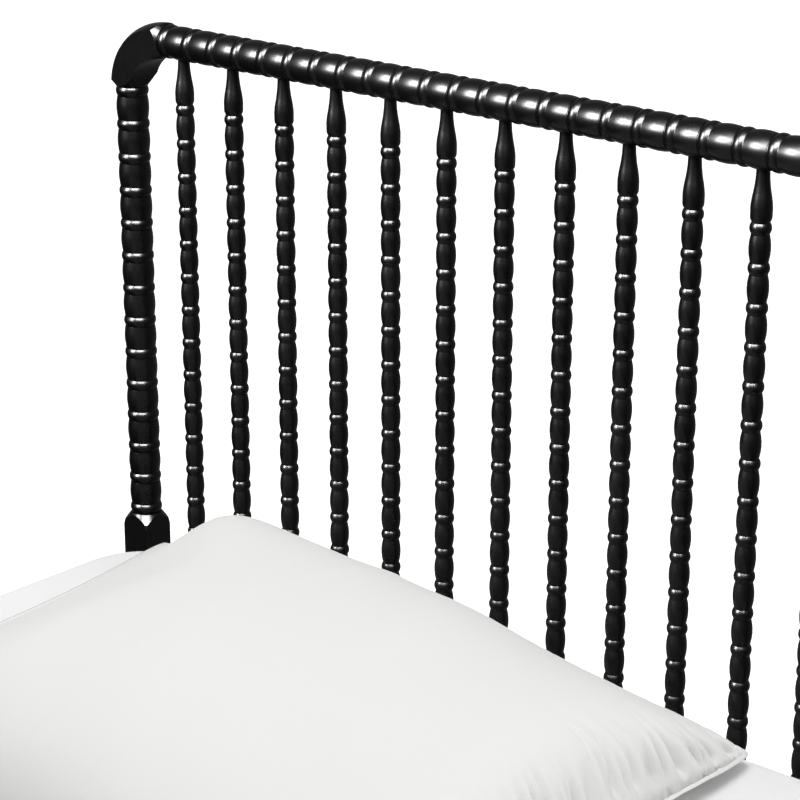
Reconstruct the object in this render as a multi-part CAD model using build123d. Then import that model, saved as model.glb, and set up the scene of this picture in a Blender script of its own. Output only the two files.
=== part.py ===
"""Spindle bed: two turned end frames, side rails, slats, a mattress and a pillow.

Millimetres. Z is up, X runs across the bed, +Y points from the foot to the headboard.
The origin lies on the floor under the middle of the bed. Every node is written in place.
"""
import os

from build123d import *

# ---------------------------------------------------------------- driving sizes
MATTRESS_WIDTH = 965.0          # standard twin
MATTRESS_LENGTH = 1905.0
MATTRESS_HEIGHT = 200.0
MATTRESS_CORNER = 70.0          # plan radius of the four corners
MATTRESS_EDGE = 16.0            # rounding of the top and bottom edges
MATTRESS_Y = 1.5                # the mattress sits a little toward the headboard
PILLOW_LENGTH = 776.0           # queen pillow in its case, across the bed
PILLOW_DEPTH = 524.0
PILLOW_RISE = 134.0             # underside to crown
PILLOW_SEAM = 34.0              # seam height over the mattress
PILLOW_X = -44.0
PILLOW_INSET = 14.05            # back edge of the pillow inside the mattress's edge
MATTRESS_ROOM_X = 30.0          # side of the mattress to the post axes
MATTRESS_ROOM_Y = 37.5          # half the mattress's length to the plane of an end frame

BLANK = 36.5                    # square stock of the posts and elbows
PITCH = BLANK                   # ring to ring along posts and spindles
SPINDLE_COUNT = 13
ELBOW_REACH = 57.3              # post axis to the end of a top rail
LOW_RING_Z = 604.0              # last post ring over the square block
HEAD_RINGS = 14                 # rings on a headboard post
FOOT_RINGS = 4                  # rings on a footboard post

# post turning
RING_HALF = 5.3
GROOVE_FLAT = 0.7
POST_RING_R = 17.65
POST_BARREL_R = 17.55
POST_SHOULDER_R = 16.3
POST_GROOVE_R = 15.75
# rail turning
RAIL_RING_R = 17.85
RAIL_BARREL_R = 17.75
RAIL_SHOULDER_R = 16.5
RAIL_GROOVE_R = 15.9
RAIL_RING_HALF = 5.2
# spindle turning
SPINDLE_RING_R = 10.05
SPINDLE_BARREL_R = 10.0
SPINDLE_GROOVE_R = 8.4
SPINDLE_RING_HALF = 5.1
NECK_R = 6.2
NECK_FIRST_RING = 51.6          # first ring to the rail face
EXTRA_RINGS = 4                 # spindle rings below the last post ring

# elbow
COLLAR_DROP = 59.5              # top rail axis to the first ring of the post
BEND_R = COLLAR_DROP - RING_HALF
CROWN_RISE = 0.7                # crown of the bend's outer side, past half the stock
CROWN_SET = 5.25                # edge of that crown, short of half the stock
INNER_RELIEF = 0.35             # flat inner side, short of half the stock
CONE_START_R = 17.0
CONE_SLOPE = 0.77               # radius gained per millimetre along the axis
CONE_LENGTH = 9.6               # straight part of the cone on a square block
CONE_ROUND = 6.4                # easing from the cone to the block's corners

# lower structure
BOTTOM_RAIL_HEIGHT = 60.0
BOTTOM_RAIL_THICK = 22.0
BLOCK_LOW_RING_Z = LOW_RING_Z - 9 * PITCH
LEG_RINGS = 4
SIDE_RAIL_THICK = 22.0
SIDE_RAIL_BOTTOM = 330.0
SIDE_RAIL_HEIGHT = 130.0
CLEAT_DEPTH = 20.0
CLEAT_HEIGHT = 25.0
CLEAT_SET_BACK = 71.75          # end of a side rail to the end of its cleat
CLEAT_SCREWS = 7
SLAT_COUNT = 11
SLAT_WIDTH = 95.0
SLAT_THICK = 18.0
SLAT_END = 50.0                 # end of a cleat to the middle of the last slat
SLAT_TOP = 390.0
SLAT_ROOM = 4.0                 # end of a slat to the side rail
SLAT_SCREW_OFFSET = 28.0        # middle of a slat to its screws

# joinery and clearances
FIT = 0.05                      # radial clearance of every glued peg
PEG_END = 1.0                   # air behind a peg
NECK_DEPTH = 13.0               # spindle neck inside a rail
CORNER_DOWEL_R = 6.0
CORNER_DOWEL_HALF = 24.0
RAIL_END_PEG = 14.0             # shorter, to stop before the last spindle's neck
RAIL_DOWEL_R = 5.0
RAIL_DOWEL_HALF = 24.0
RAIL_DOWEL_DROPS = (46.55, 13.55)   # top of the bottom rail to its dowels
BOLT_R = 4.0
BOLT_ROOM = 0.5                 # round a bolt and its head
BOLT_HEAD_R = 8.0
BOLT_HEAD = 5.0
BOLT_SINK = 1.0                 # block face to the bolt head
BOLT_SOCKET_R = 2.6
BOLT_SOCKET = 3.5
BOLT_TAIL = 12.0                # past the cross nut
BOLT_RISES = (36.5, 100.0)      # underside of a side rail to its bolts
BOLT_REACH = 52.0               # rail end to the cross nut
NUT_R = 7.0
NUT_LENGTH = 18.0
SCREW_R = 2.2
SCREW_HEAD_R = 4.2
SCREW_CONE = 3.0                # head face to the shank
SCREW_RIM = 0.8
SCREW_SINK = 0.3
SCREW_END = 1.5                 # air past a screw in blind wood
CLEAT_SCREW_LENGTH = 34.0
SLAT_SCREW_LENGTH = 33.0
GLIDE_R = 11.0
GLIDE_THICK = 4.0
GLIDE_PIN_R = 3.0
GLIDE_PIN = 14.0
SOFT_GAP = 0.4                  # air round the soft pieces

# ---------------------------------------------------------------- derived sizes
POST_X = MATTRESS_WIDTH / 2 + MATTRESS_ROOM_X
FRAME_Y = MATTRESS_LENGTH / 2 + MATTRESS_ROOM_Y
RAIL_HALF = POST_X - ELBOW_REACH
RAIL_RINGS = 2 * SPINDLE_COUNT
RAIL_PITCH = 2 * (RAIL_HALF - RAIL_RING_HALF) / (RAIL_RINGS - 1)
SPINDLE_PITCH = 2 * RAIL_PITCH
HALF = BLANK / 2
CROWN_TOP = HALF + CROWN_RISE
CROWN_EDGE = HALF - CROWN_SET
INNER_SIDE = HALF - INNER_RELIEF
HEAD_COLLAR_Z = LOW_RING_Z + (HEAD_RINGS - 1) * PITCH
FOOT_COLLAR_Z = LOW_RING_Z + (FOOT_RINGS - 1) * PITCH
HEAD_RAIL_Z = HEAD_COLLAR_Z + COLLAR_DROP
FOOT_RAIL_Z = FOOT_COLLAR_Z + COLLAR_DROP
RING_DROP = RAIL_BARREL_R + NECK_FIRST_RING
LOW_SPINDLE_RING_Z = LOW_RING_Z - EXTRA_RINGS * PITCH - (RING_DROP - COLLAR_DROP)
BOTTOM_RAIL_TOP = LOW_SPINDLE_RING_Z - NECK_FIRST_RING
RAIL_DOWEL_Z = [BOTTOM_RAIL_TOP - drop for drop in RAIL_DOWEL_DROPS]
BOLT_Z = [SIDE_RAIL_BOTTOM + rise for rise in BOLT_RISES]
BOLT_HOLE_R = BOLT_R + BOLT_ROOM
RAIL_SPAN_X = POST_X - HALF
RAIL_SPAN_Y = FRAME_Y - HALF
SIDE_RAIL_TOP = SIDE_RAIL_BOTTOM + SIDE_RAIL_HEIGHT
SIDE_RAIL_INNER = POST_X - SIDE_RAIL_THICK / 2
SLAT_BOTTOM = SLAT_TOP - SLAT_THICK
SLAT_HALF = SIDE_RAIL_INNER - SLAT_ROOM
CLEAT_LENGTH = 2 * (RAIL_SPAN_Y - CLEAT_SET_BACK)
SLAT_PITCH = (CLEAT_LENGTH - 2 * SLAT_END) / (SLAT_COUNT - 1)
CLEAT_SCREW_PITCH = 1.5 * SLAT_PITCH
MATTRESS_TOP = SLAT_TOP + SOFT_GAP + MATTRESS_HEIGHT


# ---------------------------------------------------------------- turning helpers
def lathe(outline):
    """Revolve an outline of (z, r) or (z, r, crown radius) points about Z."""
    first, last = outline[0], outline[-1]
    edges = [Line((0, first[0]), (first[1], first[0]))]
    for start, end in zip(outline, outline[1:]):
        a, b = (start[1], start[0]), (end[1], end[0])
        if len(end) == 3:
            edges.append(ThreePointArc(a, (end[2], (a[1] + b[1]) / 2), b))
        else:
            edges.append(Line(a, b))
    edges.append(Line((last[1], last[0]), (0, last[0])))
    edges.append(Line((0, last[0]), (0, first[0])))
    return revolve(Plane.XZ * make_face(edges), Axis.Z)


def ring(z, half, groove, crown):
    """One bead centred on z, with a narrow flat groove on each side."""
    return [(z - half - GROOVE_FLAT, groove), (z - half, groove), (z + half, groove, crown),
            (z + half + GROOVE_FLAT, groove)]


def beads(first, count, pitch, half, groove, shoulder, crown, barrel):
    """Rings from first upward, joined by long low barrels."""
    outline = []
    for index in range(count):
        z = first + index * pitch
        one = ring(z, half, groove, crown)
        if index:
            start = outline[-1][0]
            outline += [(start, shoulder), (one[0][0], shoulder, barrel)]
        outline += one
    return outline


def vase(ring_z, direction):
    """The swelling between a spindle's end ring and its neck."""
    shape = [(5.8, 8.4), (7.3, 9.36), (13.1, 10.0), (16.8, 10.1), (20.4, 9.9), (24.5, 9.42),
             (28.1, 8.85), (31.8, 8.15), (36.5, 7.4), (41.2, 6.8), (45.5, 6.4),
             (NECK_FIRST_RING - 1.5, NECK_R)]
    start = SPINDLE_RING_HALF + GROOVE_FLAT
    spine = Spline([(r, ring_z + direction * max(s, start)) for s, r in shape])
    return spine


def spindle(count, rail_axis):
    """One spindle: neck, vase, rings and barrels, vase and neck."""
    low = LOW_SPINDLE_RING_Z
    high = low + (count - 1) * PITCH
    body = beads(low, count, PITCH, SPINDLE_RING_HALF, SPINDLE_GROOVE_R, SPINDLE_GROOVE_R,
                 SPINDLE_RING_R, SPINDLE_BARREL_R)
    bottom = low - NECK_FIRST_RING - NECK_DEPTH
    top = rail_axis - RAIL_BARREL_R + NECK_DEPTH
    lower, upper = vase(low, -1), vase(high, 1)
    edges = [Line((0, bottom), (NECK_R, bottom)), Line((NECK_R, bottom), lower @ 1), lower]
    for start, end in zip(body, body[1:]):
        a, b = (start[1], start[0]), (end[1], end[0])
        if a == b:
            continue
        if len(end) == 3:
            edges.append(ThreePointArc(a, (end[2], (a[1] + b[1]) / 2), b))
        else:
            edges.append(Line(a, b))
    edges += [upper, Line(upper @ 1, (NECK_R, top)), Line((NECK_R, top), (0, top)),
              Line((0, top), (0, bottom))]
    return revolve(Plane.XZ * make_face(edges), Axis.Z)


def peg(radius, start, end):
    """A cylinder from one point to another along a main axis."""
    a, b = Vector(*start), Vector(*end)
    plane = Plane(origin=(a + b) / 2, z_dir=(b - a).normalized())
    return plane * Cylinder(radius, (b - a).length)


# ---------------------------------------------------------------- wooden pieces
def post(rings, side, end):
    """A corner post from the foot to the elbow, with all its bores."""
    top_ring = LOW_RING_Z + (rings - 1) * PITCH
    top = top_ring + RING_HALF
    joint = LOW_RING_Z - RING_HALF - GROOVE_FLAT
    upper = beads(LOW_RING_Z, rings, PITCH, RING_HALF, POST_GROOVE_R, POST_SHOULDER_R,
                  POST_RING_R, POST_BARREL_R)[:-1]
    solid = lathe(upper)
    low_joint = BLOCK_LOW_RING_Z + RING_HALF + GROOVE_FLAT
    cone_r = CONE_START_R + CONE_SLOPE * CONE_LENGTH
    cone = [(CONE_LENGTH, cone_r), (CONE_LENGTH + CONE_ROUND, BLANK * 0.71)]
    block = lathe([(low_joint, CONE_START_R)]
                  + [(low_joint + s, r) for s, r in cone]
                  + [(joint - s, r) for s, r in reversed(cone)]
                  + [(joint, CONE_START_R)])
    block &= Pos(0, 0, (joint + low_joint) / 2) * Box(BLANK, BLANK, joint - low_joint)
    solid += block
    leg_low = BLOCK_LOW_RING_Z - (LEG_RINGS - 1) * PITCH
    leg = beads(leg_low, LEG_RINGS, PITCH, RING_HALF, POST_GROOVE_R, POST_SHOULDER_R,
                POST_RING_R, POST_BARREL_R)
    start = leg[0][0]
    foot = [(GLIDE_THICK, 12.0), (GLIDE_THICK + 2, 14.0), (26.0, 14.2, 16.6), (27.0, 12.6),
            (start - 18.0, 16.9), (start, POST_SHOULDER_R, 17.4)]
    solid += lathe(foot + leg)
    solid -= peg(CORNER_DOWEL_R + FIT, (0, 0, top - CORNER_DOWEL_HALF - PEG_END), (0, 0, top + 1))
    solid -= peg(GLIDE_PIN_R + FIT, (0, 0, 0), (0, 0, GLIDE_THICK + GLIDE_PIN + PEG_END))
    for z in RAIL_DOWEL_Z:
        reach = HALF - RAIL_DOWEL_HALF - PEG_END
        solid -= peg(RAIL_DOWEL_R + FIT, (-side * reach, 0, z), (-side * (HALF + 1), 0, z))
    for z in BOLT_Z:
        solid -= peg(BOLT_HOLE_R, (0, -HALF - 1, z), (0, HALF + 1, z))
        solid -= peg(BOLT_HEAD_R + BOLT_ROOM, (0, end * (HALF - BOLT_HEAD - BOLT_SINK), z),
                     (0, end * (HALF + 1), z))
    return Pos(side * POST_X, end * FRAME_Y, 0) * solid


def elbow(side, end, rail_z):
    """The bent corner: flat front and back, round outside, hollow inside, cone-cut ends."""
    straight = ELBOW_REACH - BEND_R
    edge = CROWN_EDGE
    section = make_face([
        Line((-INNER_SIDE, -HALF), (-INNER_SIDE, HALF)), Line((-INNER_SIDE, HALF), (edge, HALF)),
        ThreePointArc((edge, HALF), (CROWN_TOP, 0), (edge, -HALF)),
        Line((edge, -HALF), (-INNER_SIDE, -HALF))])
    # the section's x points away from the bend centre, its y along the bend axis
    at_post = Plane(origin=(0, 0, -BEND_R), x_dir=(-1, 0, 0), z_dir=(0, 0, 1))
    centre = Axis((BEND_R, 0, -BEND_R), (0, 1, 0))
    solid = revolve(at_post * section, centre, 90)
    at_rail = Plane(origin=(BEND_R, 0, 0), x_dir=(0, 0, 1), z_dir=(1, 0, 0))
    solid += extrude(at_rail * section, straight)
    depth = 20.0
    wall = [(0, CONE_START_R), (depth, CONE_START_R + CONE_SLOPE * depth)]
    shell = Pos(0, 0, depth / 2) * Cylinder(60, depth) - lathe(wall)
    solid -= Pos(0, 0, -BEND_R) * shell
    solid -= Plane(origin=(ELBOW_REACH, 0, 0), z_dir=(-1, 0, 0)) * shell
    far = BEND_R - CORNER_DOWEL_HALF - PEG_END
    solid -= peg(CORNER_DOWEL_R + FIT, (0, 0, -BEND_R - 1), (0, 0, -far))
    far = ELBOW_REACH - CORNER_DOWEL_HALF - PEG_END
    solid -= peg(CORNER_DOWEL_R + FIT, (ELBOW_REACH + 1, 0, 0), (far, 0, 0))
    if side > 0:
        solid = mirror(solid, Plane.YZ)
    return Pos(side * POST_X, end * FRAME_Y, rail_z) * solid


def spindle_places():
    """X of every spindle, left to right."""
    first = -SPINDLE_PITCH * (SPINDLE_COUNT - 1) / 2
    return [first + SPINDLE_PITCH * index for index in range(SPINDLE_COUNT)]


def top_rail(end, rail_z):
    """The turned rail between two elbows, bored for spindles and dowels."""
    first = -(RAIL_RINGS - 1) * RAIL_PITCH / 2
    outline = beads(first, RAIL_RINGS, RAIL_PITCH, RAIL_RING_HALF, RAIL_GROOVE_R,
                    RAIL_SHOULDER_R, RAIL_RING_R, RAIL_BARREL_R)[1:-1]
    solid = Plane.YZ * lathe(outline)
    for x in (-1, 1):
        inner = RAIL_HALF - RAIL_END_PEG - PEG_END
        solid -= peg(CORNER_DOWEL_R + FIT, (x * inner, 0, 0), (x * (RAIL_HALF + 1), 0, 0))
    for x in spindle_places():
        solid -= peg(NECK_R + FIT, (x, 0, -RAIL_BARREL_R - 1),
                     (x, 0, -RAIL_BARREL_R + NECK_DEPTH + PEG_END))
    return Pos(0, end * FRAME_Y, rail_z) * solid


def bottom_rail(end):
    """The plain rail under the spindles."""
    height = BOTTOM_RAIL_HEIGHT
    solid = Pos(0, 0, BOTTOM_RAIL_TOP - height / 2) * Box(
        2 * RAIL_SPAN_X, BOTTOM_RAIL_THICK, height)
    solid = fillet(solid.edges().filter_by(Axis.X), 3.0)
    for x in spindle_places():
        solid -= peg(NECK_R + FIT, (x, 0, BOTTOM_RAIL_TOP - NECK_DEPTH - PEG_END),
                     (x, 0, BOTTOM_RAIL_TOP + 1))
    for z in RAIL_DOWEL_Z:
        for x in (-1, 1):
            inner = RAIL_SPAN_X - RAIL_DOWEL_HALF - PEG_END
            solid -= peg(RAIL_DOWEL_R + FIT, (x * inner, 0, z), (x * (RAIL_SPAN_X + 1), 0, z))
    return Pos(0, end * FRAME_Y, 0) * solid


def cleat_screw_places():
    """Y of the screws that hold a cleat."""
    return [CLEAT_SCREW_PITCH * (index - (CLEAT_SCREWS - 1) / 2) for index in range(CLEAT_SCREWS)]


def side_rail(side):
    """A long rail, bored at both ends for bed bolts and cross nuts."""
    x = side * POST_X
    solid = Pos(x, 0, SIDE_RAIL_BOTTOM + SIDE_RAIL_HEIGHT / 2) * Box(
        SIDE_RAIL_THICK, 2 * RAIL_SPAN_Y, SIDE_RAIL_HEIGHT)
    solid = fillet(solid.edges().filter_by(Axis.Y), 4.0)
    inner = side * SIDE_RAIL_INNER
    for z in BOLT_Z:
        for end in (-1, 1):
            nut_y = end * (RAIL_SPAN_Y - BOLT_REACH)
            tail = nut_y - end * (BOLT_TAIL + 2 * PEG_END)
            solid -= peg(BOLT_HOLE_R, (x, tail, z), (x, end * (RAIL_SPAN_Y + 1), z))
            solid -= peg(NUT_R + FIT, (inner - side, nut_y, z),
                         (inner + side * (NUT_LENGTH + PEG_END), nut_y, z))
    depth = CLEAT_SCREW_LENGTH - CLEAT_DEPTH + SCREW_END
    for y in cleat_screw_places():
        z = SLAT_BOTTOM - CLEAT_HEIGHT / 2
        solid -= peg(SCREW_R + FIT, (inner - side, y, z), (inner + side * depth, y, z))
    return solid


def slat_places():
    """Y of every slat, foot to head."""
    first = -SLAT_PITCH * (SLAT_COUNT - 1) / 2
    return [first + SLAT_PITCH * index for index in range(SLAT_COUNT)]


def slat_screw_places(y):
    """The screw points of the slat at y, on both cleats."""
    x, dy = SIDE_RAIL_INNER - CLEAT_DEPTH / 2, SLAT_SCREW_OFFSET
    return [(sx * x, y + sy * dy) for sx in (-1, 1) for sy in (-1, 1)]


def screw_solid(length):
    """A countersunk screw, head up, its head's face at z = 0."""
    return lathe([(-length, SCREW_R), (-SCREW_CONE, SCREW_R), (-SCREW_RIM, SCREW_HEAD_R),
                  (-SCREW_SINK, SCREW_HEAD_R)])


def screw_hole(length):
    """The bore for one screw, a hair larger than the screw."""
    return lathe([(-length - 0.5, SCREW_R + FIT), (-SCREW_CONE - FIT, SCREW_R + FIT),
                  (-SCREW_RIM - FIT, SCREW_HEAD_R + FIT), (1.0, SCREW_HEAD_R + FIT)])


def cleat(side):
    """The ledge that carries the slats."""
    x = side * (SIDE_RAIL_INNER - CLEAT_DEPTH / 2)
    z = SLAT_BOTTOM - CLEAT_HEIGHT / 2
    solid = Pos(x, 0, z) * Box(CLEAT_DEPTH, CLEAT_LENGTH, CLEAT_HEIGHT)
    face = side * (SIDE_RAIL_INNER - CLEAT_DEPTH)
    for y in cleat_screw_places():
        hole = Plane(origin=(face, y, z), z_dir=(-side, 0, 0)) * screw_hole(CLEAT_SCREW_LENGTH)
        solid -= hole
    tip = SLAT_TOP - SLAT_SCREW_LENGTH - SCREW_END
    for place in slat_places():
        for sx, sy in slat_screw_places(place):
            if sx * side > 0:
                solid -= peg(SCREW_R + FIT, (sx, sy, tip), (sx, sy, SLAT_BOTTOM + 1))
    return solid


def slat(y):
    """One cross slat, countersunk for its screws."""
    solid = Pos(0, y, (SLAT_BOTTOM + SLAT_TOP) / 2) * Box(2 * SLAT_HALF, SLAT_WIDTH, SLAT_THICK)
    solid = fillet(solid.edges().filter_by(Axis.X), 2.0)
    for sx, sy in slat_screw_places(y):
        solid -= Pos(sx, sy, SLAT_TOP) * screw_hole(SLAT_SCREW_LENGTH)
    return solid


# ---------------------------------------------------------------- soft pieces
def mattress():
    """A twin mattress with rounded corners and edges."""
    plan = RectangleRounded(MATTRESS_WIDTH, MATTRESS_LENGTH, MATTRESS_CORNER)
    solid = extrude(Pos(0, MATTRESS_Y, SLAT_TOP + SOFT_GAP) * plan, MATTRESS_HEIGHT)
    rims = solid.edges().group_by(Axis.Z)
    return fillet(rims[0] + rims[-1], MATTRESS_EDGE)


def lens(width, low, high, depth):
    """A long bar whose end view is a flat-bottomed lens."""
    half = width / 2
    edges = [
        ThreePointArc((-half, 0), (0, high), (half, 0)),
        Line((half, 0), (half - 2, -4)),
        ThreePointArc((half - 2, -4), (half * 0.82, -low * 0.8), (half * 0.62, -low)),
        Line((half * 0.62, -low), (-half * 0.62, -low)),
        ThreePointArc((-half * 0.62, -low), (-half * 0.82, -low * 0.8), (-half + 2, -4)),
        Line((-half + 2, -4), (-half, 0))]
    return extrude(make_face(edges), depth / 2, both=True)


def pillow():
    """A plump queen pillow, its seam part way up."""
    rise = PILLOW_RISE - PILLOW_SEAM
    across = Plane.XZ * lens(PILLOW_LENGTH, PILLOW_SEAM, rise, PILLOW_DEPTH)
    along = Plane.YZ * lens(PILLOW_DEPTH, PILLOW_SEAM, rise, PILLOW_LENGTH)
    y = MATTRESS_Y + MATTRESS_LENGTH / 2 - PILLOW_INSET - PILLOW_DEPTH / 2
    return Pos(PILLOW_X, y, MATTRESS_TOP + SOFT_GAP + PILLOW_SEAM) * (across & along)


# ---------------------------------------------------------------- hardware
def bed_bolts():
    """Two bolts at each corner, heads sunk in the blocks."""
    found = []
    for side in (-1, 1):
        for end in (-1, 1):
            for z in BOLT_Z:
                x, head = side * POST_X, end * (FRAME_Y + HALF - BOLT_SINK)
                seat = head - end * BOLT_HEAD
                tip = end * (RAIL_SPAN_Y - BOLT_REACH - BOLT_TAIL)
                found.append(peg(BOLT_HEAD_R, (x, head, z), (x, seat, z))
                             + peg(BOLT_R, (x, seat, z), (x, tip, z))
                             - peg(BOLT_SOCKET_R, (x, head + end, z),
                                   (x, head - end * BOLT_SOCKET, z)))
    return found


def barrel_nuts():
    """Cross nuts in the side rails, one for every bed bolt."""
    found = []
    for side in (-1, 1):
        for end in (-1, 1):
            for z in BOLT_Z:
                y, inner = end * (RAIL_SPAN_Y - BOLT_REACH), side * SIDE_RAIL_INNER
                body = peg(NUT_R, (inner, y, z), (inner + side * NUT_LENGTH, y, z))
                hole = peg(BOLT_R + FIT, (side * POST_X, y - 10, z), (side * POST_X, y + 10, z))
                found.append(body - hole)
    return found


def dowels():
    """Glued wooden pegs in the elbows and the bottom rails."""
    found = []
    for end, rail_z in ((-1, FOOT_RAIL_Z), (1, HEAD_RAIL_Z)):
        y = end * FRAME_Y
        for side in (-1, 1):
            joint = rail_z - BEND_R
            found.append(peg(CORNER_DOWEL_R, (side * POST_X, y, joint - CORNER_DOWEL_HALF),
                             (side * POST_X, y, joint + CORNER_DOWEL_HALF)))
            found.append(peg(CORNER_DOWEL_R, (side * (RAIL_HALF - RAIL_END_PEG), y, rail_z),
                             (side * (RAIL_HALF + CORNER_DOWEL_HALF), y, rail_z)))
            for z in RAIL_DOWEL_Z:
                found.append(peg(RAIL_DOWEL_R, (side * (RAIL_SPAN_X - RAIL_DOWEL_HALF), y, z),
                                 (side * (RAIL_SPAN_X + RAIL_DOWEL_HALF), y, z)))
    return found


def wood_screws():
    """Screws that hold the cleats to the rails and the slats to the cleats."""
    found = []
    for side in (-1, 1):
        face = side * (SIDE_RAIL_INNER - CLEAT_DEPTH)
        z = SLAT_BOTTOM - CLEAT_HEIGHT / 2
        for y in cleat_screw_places():
            found.append(Plane(origin=(face, y, z), z_dir=(-side, 0, 0)) * screw_solid(CLEAT_SCREW_LENGTH))
    for place in slat_places():
        for sx, sy in slat_screw_places(place):
            found.append(Pos(sx, sy, SLAT_TOP) * screw_solid(SLAT_SCREW_LENGTH))
    return found


def foot_glides():
    """A disc and pin under every post."""
    shape = lathe([(0, GLIDE_R - 1), (1, GLIDE_R), (GLIDE_THICK, GLIDE_R), (GLIDE_THICK, GLIDE_PIN_R),
                   (GLIDE_THICK + GLIDE_PIN, GLIDE_PIN_R)])
    return [Pos(side * POST_X, end * FRAME_Y, 0) * shape for side in (-1, 1) for end in (-1, 1)]


# ---------------------------------------------------------------- write the nodes
def save(name, shape):
    """Write one node."""
    solids = [s for one in (shape if isinstance(shape, list) else [shape]) for s in one.solids()]
    node = solids[0] if len(solids) == 1 else Compound(children=solids)
    export_step(node, os.path.join("parts", name + ".step"))
    print(name, len(solids), [round(v, 2) for v in node.bounding_box().size])


os.makedirs("parts", exist_ok=True)
for board, end, rings, rail_z in (("headboard", 1, HEAD_RINGS, HEAD_RAIL_Z),
                                  ("footboard", -1, FOOT_RINGS, FOOT_RAIL_Z)):
    for label, side in (("left", -1), ("right", 1)):
        save(f"{board}_{label}_post", post(rings, side, end))
        save(f"{board}_{label}_elbow", elbow(side, end, rail_z))
    save(f"{board}_top_rail", top_rail(end, rail_z))
    save(f"{board}_bottom_rail", bottom_rail(end))
    one = spindle(rings + EXTRA_RINGS, rail_z)
    for index, x in enumerate(spindle_places(), start=1):
        save(f"{board}_spindle_{index:02d}", Pos(x, end * FRAME_Y, 0) * one)
for label, side in (("left", -1), ("right", 1)):
    save(f"{label}_side_rail", side_rail(side))
    save(f"{label}_slat_cleat", cleat(side))
for index, y in enumerate(slat_places(), start=1):
    save(f"slat_{index:02d}", slat(y))
save("mattress", mattress())
save("pillow", pillow())
save("bed_bolts", bed_bolts())
save("barrel_nuts", barrel_nuts())
save("dowels", dowels())
save("wood_screws", wood_screws())
save("foot_glides", foot_glides())
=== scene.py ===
"""Dresses the spindle bed: lacquered turnings, slats, hardware, mattress, fitted sheet and pillow."""

import logging
import math
from dataclasses import dataclass, field
from enum import Enum
from typing import Any, Iterable, Sequence, Union

import bpy
import bmesh
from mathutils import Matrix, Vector, noise


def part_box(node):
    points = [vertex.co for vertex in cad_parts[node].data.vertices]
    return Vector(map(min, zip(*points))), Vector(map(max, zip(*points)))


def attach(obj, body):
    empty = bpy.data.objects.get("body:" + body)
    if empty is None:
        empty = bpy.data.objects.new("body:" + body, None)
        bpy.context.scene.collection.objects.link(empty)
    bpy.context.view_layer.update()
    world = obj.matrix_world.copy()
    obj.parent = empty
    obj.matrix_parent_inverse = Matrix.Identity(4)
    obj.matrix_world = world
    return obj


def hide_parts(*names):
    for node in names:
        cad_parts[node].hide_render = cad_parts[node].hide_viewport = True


logging.basicConfig(level=logging.INFO, format="%(name)s: %(message)s")
LOG = logging.getLogger("bed")

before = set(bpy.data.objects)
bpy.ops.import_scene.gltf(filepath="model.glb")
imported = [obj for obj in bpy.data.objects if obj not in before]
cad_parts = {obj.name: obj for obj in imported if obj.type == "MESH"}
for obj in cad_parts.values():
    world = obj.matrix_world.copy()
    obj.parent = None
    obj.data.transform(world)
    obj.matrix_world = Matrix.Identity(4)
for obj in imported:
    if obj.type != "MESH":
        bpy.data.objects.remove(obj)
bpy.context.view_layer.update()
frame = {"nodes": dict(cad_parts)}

Number = Union[int, float]
Colour = tuple[float, float, float]
MM = 0.001


# ---------------------------------------------------------------- shader expressions
class Socket:
    """A shader socket that can be used in ordinary arithmetic."""

    def __init__(self, shader: "Shader", link: Any) -> None:
        """Wraps one output socket.

        Args:
            shader: the material being built.
            link: the Blender output socket.
        """
        self.shader = shader
        self.link = link

    def _math(self, operation: str, *values: Any) -> "Socket":
        """One Math node on the given values."""
        return self.shader.node("ShaderNodeMath", {"operation": operation}, *values)

    def __add__(self, other: Any) -> "Socket":
        """Sum."""
        return self._math("ADD", self, other)

    def __radd__(self, other: Any) -> "Socket":
        """Sum, with the number first."""
        return self._math("ADD", other, self)

    def __sub__(self, other: Any) -> "Socket":
        """Difference."""
        return self._math("SUBTRACT", self, other)

    def __rsub__(self, other: Any) -> "Socket":
        """Difference, with the number first."""
        return self._math("SUBTRACT", other, self)

    def __mul__(self, other: Any) -> "Socket":
        """Product."""
        return self._math("MULTIPLY", self, other)

    def __pow__(self, other: Any) -> "Socket":
        """Power."""
        return self._math("POWER", self, other)

    def clamped(self) -> "Socket":
        """The value held between 0 and 1."""
        return self.shader.node("ShaderNodeClamp", {}, self)

    def sine(self) -> "Socket":
        """The value's sine."""
        return self._math("SINE", self)

    def ramp(self, low: Number, high: Number) -> "Socket":
        """0 below low, 1 above high, straight between.

        Args:
            low: the value that gives 0.
            high: the value that gives 1.

        Returns:
            The clamped ramp.
        """
        return ((self - low) * (1.0 / (high - low))).clamped()


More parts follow.
